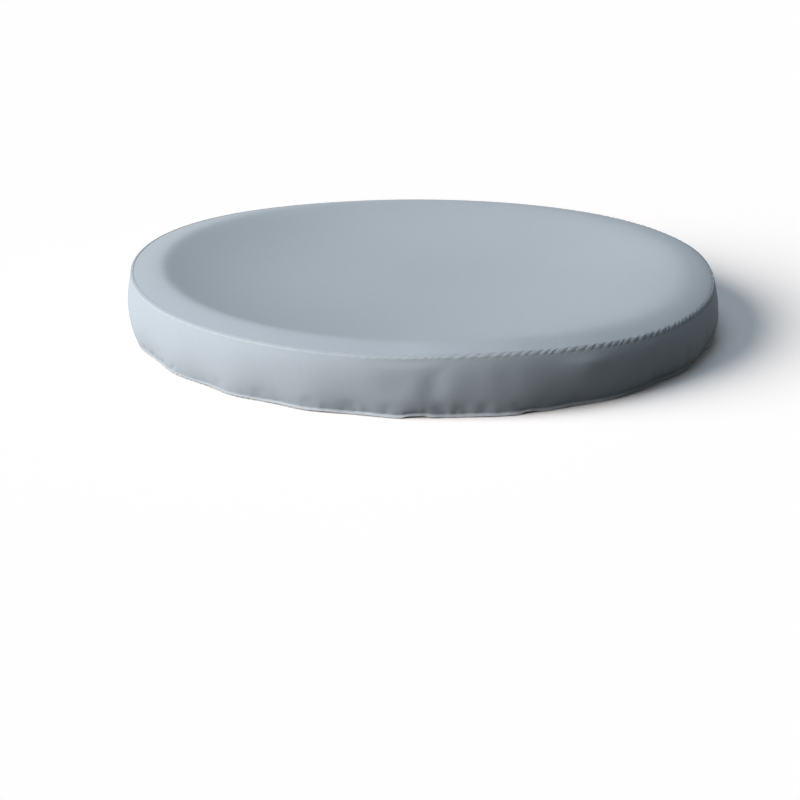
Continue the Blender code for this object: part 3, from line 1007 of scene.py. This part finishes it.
# paler along the edges and on the lip: partly rubbed coating, partly a painted highlight
wear = add_node(tree, "Attribute", {"attribute_name": "wear"})
worn_and_highlit = add_node(
    tree, "Math", {"operation": "MULTIPLY"}, {}, {0: wear.outputs["Fac"], 1: flecks.outputs["Fac"]}
)
rubbed_and_highlit = add_node(tree, "MixRGB", {}, {"Color2": linear("C6CED4")}, {"Fac": worn_and_highlit, "Color1": flecked})
# painted shade: dark dashes in the pinches of the seam, strongest where the thread is tight
painted_shade_share = add_node(tree, "Attribute", {"attribute_name": "painted_shade"}).outputs["Fac"]
with_painted_shade = add_node(tree, "MixRGB", {}, {"Color2": linear("474F56")}, {"Fac": painted_shade_share, "Color1": rubbed_and_highlit})
shine = add_node(tree, "MapRange", {}, {1: 0.3, 2: 0.7, 3: 0.70, 4: 0.82}, {"Value": patches})
plug(tree, shader, Base_Color=with_painted_shade, Roughness=shine)

# %% Weave of the coated polyester
WEAVE_HEIGHT = 0.0004
CRUMPLE_HEIGHT = 0.0010
bands = {"wave_type": "BANDS", "wave_profile": "SIN"}


def crossed_threads(tree, spacing, operation):
    """Two sets of threads that cross on the flat cloth, joined by an operation."""
    cloth_place = add_node(tree, "UVMap", {"uv_map": "cloth"})
    pitch = {"Scale": WAVE_PERIOD / spacing}
    threads = {}
    for socket, way in enumerate("XY"):
        ways = {**bands, "bands_direction": way}
        threads[socket] = add_node(tree, "TexWave", ways, pitch, {"Vector": cloth_place}).outputs["Fac"]
    return add_node(tree, "Math", {"operation": operation}, {}, threads)


weave = crossed_threads(tree, THREAD_SPACING, "MULTIPLY")
crumple = add_node(tree, "TexNoise", {}, {"Scale": 1 / CRUMPLE_SIZE, "Detail": 3.0}, {"Vector": place})
soft_bump = add_node(
    tree, "Bump", {}, {"Strength": 0.35, "Distance": CRUMPLE_HEIGHT}, {"Height": crumple}
)
weave_bump = add_node(
    tree, "Bump", {}, {"Strength": 0.25, "Distance": WEAVE_HEIGHT}, {"Height": weave, "Normal": soft_bump}
)
plug(tree, shader, Normal=weave_bump)

# %% [markdown]
# ## Sewing thread
#
# The seams are sewn with bonded polyester thread: three plies twisted together under a thin coat of resin, so
# it is smooth with a soft shine and shows slanted lines. Every stitch keeps the UV map of the ball that it
# was made from, which runs once round and once along it, so slanted bands on that map wind round the thread.

# %% Bonded polyester thread
PLIES = 3
BAND_TURNS = 10  # radians of a slanted wave texture at scale 1, for each unit of its map
PLY_HEIGHT = 0.0002

thread_finish, tree, shader = new_finish("bonded_polyester_thread", IOR=1.50, Roughness=0.45)
stitch_place = add_node(tree, "UVMap", {"uv_map": "UVMap"})
slanted = {**bands, "bands_direction": "DIAGONAL"}
twist = add_node(
    tree, "TexWave", slanted, {"Scale": PLIES * math.tau / BAND_TURNS}, {"Vector": stitch_place}
)
ply_colours = {"Color1": linear("8F9AA2"), "Color2": linear("B3BDC5")}
plies = add_node(tree, "MixRGB", {}, ply_colours, {"Fac": twist.outputs["Fac"]})
ply_bump = add_node(
    tree, "Bump", {}, {"Strength": 0.5, "Distance": PLY_HEIGHT}, {"Height": twist.outputs["Fac"]}
)
plug(tree, shader, Base_Color=plies, Normal=ply_bump)

# %% [markdown]
# ## Sealing tape
#
# Seam tape is a film of polyurethane on a thin knitted scrim, melted on by hot air. The film gives it a
# gentle gloss, uneven where the heat was, and the scrim prints a fine grid through it.

# %% Polyurethane tape
SCRIM_SPACING = 0.003  # the real scrim is about three times as fine, too fine to show
MELT_SIZE = 0.04
SCRIM_HEIGHT = 0.0002

tape_finish, tree, shader = new_finish("polyurethane_tape", IOR=1.50)
scrim = crossed_threads(tree, SCRIM_SPACING, "MAXIMUM")
place = add_node(tree, "TexCoord").outputs["Object"]
melt = add_node(tree, "TexNoise", {}, {"Scale": 1 / MELT_SIZE, "Detail": 2.0}, {"Vector": place})
film = add_node(
    tree, "MixRGB", {}, {"Color1": linear("818B93"), "Color2": linear("97A1A9")}, {"Fac": melt}
)
gloss = add_node(tree, "MapRange", {}, {1: 0.3, 2: 0.7, 3: 0.28, 4: 0.45}, {"Value": melt})
scrim_bump = add_node(tree, "Bump", {}, {"Strength": 0.3, "Distance": SCRIM_HEIGHT}, {"Height": scrim})
plug(tree, shader, Base_Color=film, Roughness=gloss, Normal=scrim_bump)

# %% [markdown]
# ## Braided elastic
#
# The elastic is a flat braid of off-white polyester yarn over rubber cores. The yarns cross to and fro, which
# gives rows of chevrons along it. The ring has no flat map, so the pattern is worked out from where a point
# lies: the angle round the middle gives the way along, and the distance from the middle the way across.

# %% Polyester braid
BRAID_PITCH = 0.0030  # twice the real pitch, which is too fine to show
BRAID_ROW = 0.0030
BRAID_HEIGHT = 0.0003

elastic_finish, tree, shader = new_finish("polyester_braid", Roughness=0.75, Sheen_Weight=0.15)
place = add_node(tree, "TexCoord").outputs["Object"]
axes = add_node(tree, "SeparateXYZ", {}, {}, {"Vector": place})
round_to = add_node(
    tree, "Math", {"operation": "ARCTAN2"}, {}, {0: axes.outputs["Y"], 1: axes.outputs["X"]}
)
along = add_node(tree, "Math", {"operation": "MULTIPLY"}, {1: ELASTIC_RADIUS}, {0: round_to})
level = add_node(tree, "VectorMath", {"operation": "MULTIPLY"}, {1: (1, 1, 0)}, {0: place})
across = add_node(tree, "VectorMath", {"operation": "LENGTH"}, {}, {0: level})
to_and_fro = add_node(
    tree, "Math", {"operation": "PINGPONG"}, {1: BRAID_ROW / 2}, {0: across.outputs["Value"]}
)
chevron = add_node(tree, "Math", {"operation": "ADD"}, {}, {0: along, 1: to_and_fro})
chevron_place = add_node(tree, "CombineXYZ", {}, {}, {"X": chevron})
yarn = add_node(
    tree,
    "TexWave",
    {**bands, "bands_direction": "X"},
    {"Scale": WAVE_PERIOD / BRAID_PITCH},
    {"Vector": chevron_place},
)
yarns = add_node(
    tree, "MixRGB", {}, {"Color1": linear("BDBBB3"), "Color2": linear("E4E2DB")}, {"Fac": yarn.outputs["Fac"]}
)
braid_bump = add_node(
    tree, "Bump", {}, {"Strength": 0.5, "Distance": BRAID_HEIGHT}, {"Height": yarn.outputs["Fac"]}
)
plug(tree, shader, Base_Color=yarns, Normal=braid_bump)
print("finishes:", cloth_finish.name, thread_finish.name, tape_finish.name, elastic_finish.name)

# %% [markdown]
# ## Putting the cover together
#
# Every piece rides on the one body that the cover has, stands for the plain solid of the frame, and names
# the finish that it takes.

# %% Bodies, solids and finishes
def sew_on(piece, slot, finish, *nodes):
    """Give a piece its finish, and put it in the place of the frame's solids."""
    piece.data.materials.clear()
    piece.data.materials.append(finish)
    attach(piece, "root")
    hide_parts(*nodes)


sew_on(top_cloth, "coated_cloth", cloth_finish, "top_panel")
sew_on(skirt_front, "coated_cloth", cloth_finish, "skirt_front_panel")
sew_on(skirt_back, "coated_cloth", cloth_finish, "skirt_back_panel")
sew_on(rim_tape, "seam_tape", tape_finish, "rim_seam_tape")
for side, tape in side_tapes.items():
    sew_on(tape, "seam_tape", tape_finish, f"{side}_seam_tape")
sew_on(rim_upper, "thread", thread_finish, "rim_stitch_upper")
sew_on(rim_lower, "thread", thread_finish, "rim_stitch_lower")
for (side, end), row in side_rows.items():
    sew_on(row, "thread", thread_finish, f"{side}_seam_stitch_{end}")
sew_on(hem_row, "thread", thread_finish, "hem_stitch")
sew_on(elastic, "elastic", elastic_finish, "hem_elastic")

# %% Lists of the small pieces that go with each half of the skirt
for half, end, small in (
    (skirt_front, "front", [elastic, hem_row]),
    (skirt_back, "back", list(side_tapes.values())),
):
    small += [side_rows["left", end], side_rows["right", end]]

# %% [markdown]
# ## Floor and light
#
# The cover stands on a plain pale floor. One large soft lamp far to the left gives the bright left side and
# the dark right side, a weak one overhead fills the dish, and the world adds a little from all round. Floor
# and world look white to the camera and in reflections, but they are darker for light that bounces, so that
# they don't brighten the shaded side.

# %% Rays that see the background
def background_rays(tree):
    """1 for rays of the camera, of reflections and through glass, and 0 for soft bounced light."""
    path = add_node(tree, "LightPath").outputs
    seen = path["Is Camera Ray"]
    for kind in ("Glossy", "Transmission"):
        seen = add_node(tree, "Math", {"operation": "MAXIMUM"}, {}, {0: seen, 1: path[f"Is {kind} Ray"]})
    return seen


# %% Floor
FLOOR_SIZE = 80.0
FLOOR_DROP = 0.0006
FLOOR_BOUNCE = (0.18, 0.18, 0.18, 1)
FLOOR_WHITE = (1.16, 1.14, 1.12, 1)  # over 1, as the lamps alone light it to less than white

bpy.ops.object.select_all(action="DESELECT")
bpy.ops.mesh.primitive_plane_add(size=FLOOR_SIZE, location=(0, 0, 0))
floor = bpy.context.object
floor.name = "floor"
bpy.ops.object.mode_set(mode="EDIT")
bpy.ops.transform.translate(value=(0, 0, -FLOOR_DROP))
bpy.ops.object.mode_set(mode="OBJECT")
floor_finish, tree, shader = new_finish("pale_floor", Roughness=0.9, Specular_IOR_Level=0.0)
colour = add_node(
    tree, "MixRGB", {}, {"Color1": FLOOR_BOUNCE, "Color2": FLOOR_WHITE}, {"Fac": background_rays(tree)}
)
plug(tree, shader, Base_Color=colour)
below = add_node(tree, "NewGeometry").outputs["Backfacing"]
clear = add_node(tree, "BsdfTransparent")
one_sided = add_node(tree, "MixShader", {}, {}, {"Fac": below, 1: shader, 2: clear})
plug(tree, tree.nodes["Material Output"], Surface=one_sided)
floor.data.materials.append(floor_finish)

# %% Lamps
LAMP_DISTANCE = 8.0  # out of the way, as the light of a sun lamp doesn't fall off


def soft_lamp(name, right, up, strength, spread, colour):
    """A far lamp, some degrees right and up, that lights a white surface which faces it to a strength."""
    round_to, up = math.radians(right), math.radians(up)
    towards = Vector((math.sin(round_to) * math.cos(up), -math.cos(round_to) * math.cos(up), math.sin(up)))
    bpy.ops.object.light_add(type="SUN", location=towards * LAMP_DISTANCE)
    lamp = bpy.context.object
    lamp.name = name
    lamp.rotation_euler = towards.to_track_quat("Z", "Y").to_euler()
    lamp.data.energy = strength * math.pi
    lamp.data.angle = math.radians(spread)
    lamp.data.color = colour
    return lamp


soft_lamp("key", right=-70, up=24, strength=1.52, spread=45, colour=(1.045, 0.99, 0.96))
soft_lamp("overhead", right=-90, up=80, strength=0.18, spread=40, colour=(0.80, 1.0, 1.20))

# %% World
WORLD_STRENGTH = 0.08

world = bpy.data.worlds.new("studio")
bpy.context.scene.world = world
world.use_nodes = True
tree = world.node_tree
background = tree.nodes["Background"]
background.inputs["Color"].default_value = (1, 1, 1, 1)
strength = add_node(
    tree, "MapRange", {}, {3: WORLD_STRENGTH, 4: 1.0}, {"Value": background_rays(tree)}
)
plug(tree, background, Strength=strength)
bpy.context.scene.view_settings.view_transform = "Standard"
